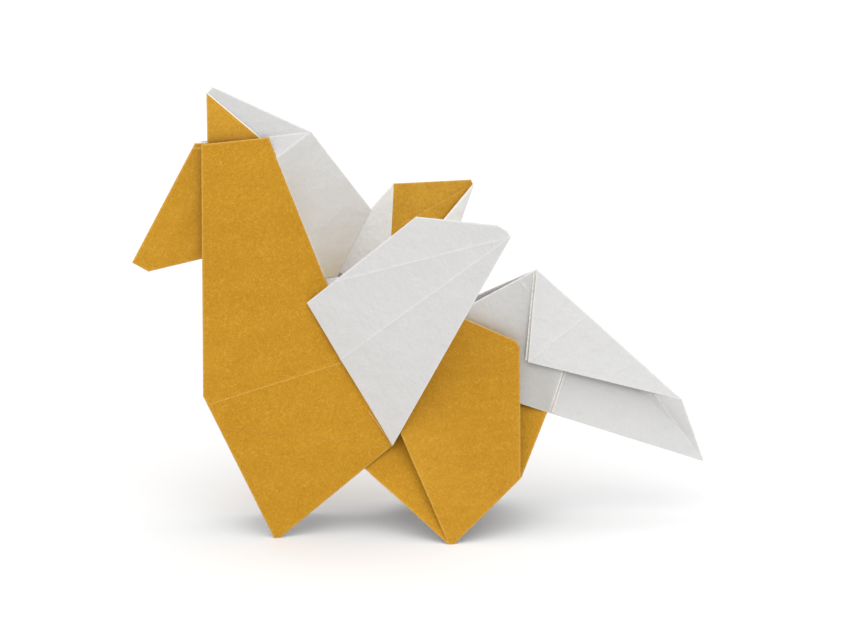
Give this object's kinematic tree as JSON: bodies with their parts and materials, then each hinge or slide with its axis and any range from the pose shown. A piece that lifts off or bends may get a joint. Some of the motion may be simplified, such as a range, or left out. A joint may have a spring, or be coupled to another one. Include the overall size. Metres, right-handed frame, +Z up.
{
  "type": "origami pegasus",
  "caption": "Paper winged horse folded from one square sheet, coloured on one side and white on the other, standing on its four pointed feet.",
  "frame": {"origin": "centre of the part's plan box, at the level of the foot tips", "axes": "+X towards the tail, -X towards the head, +Z up, mirror plane at Y = 0"},
  "size_m": [0.1462, 0.0664, 0.1137],
  "materials": {
    "paper": "fibrous uncoated paper, ochre face and white face"
  },
  "bodies": {
    "root": {"folded_sheet": "paper"}
  },
  "joints": []
}
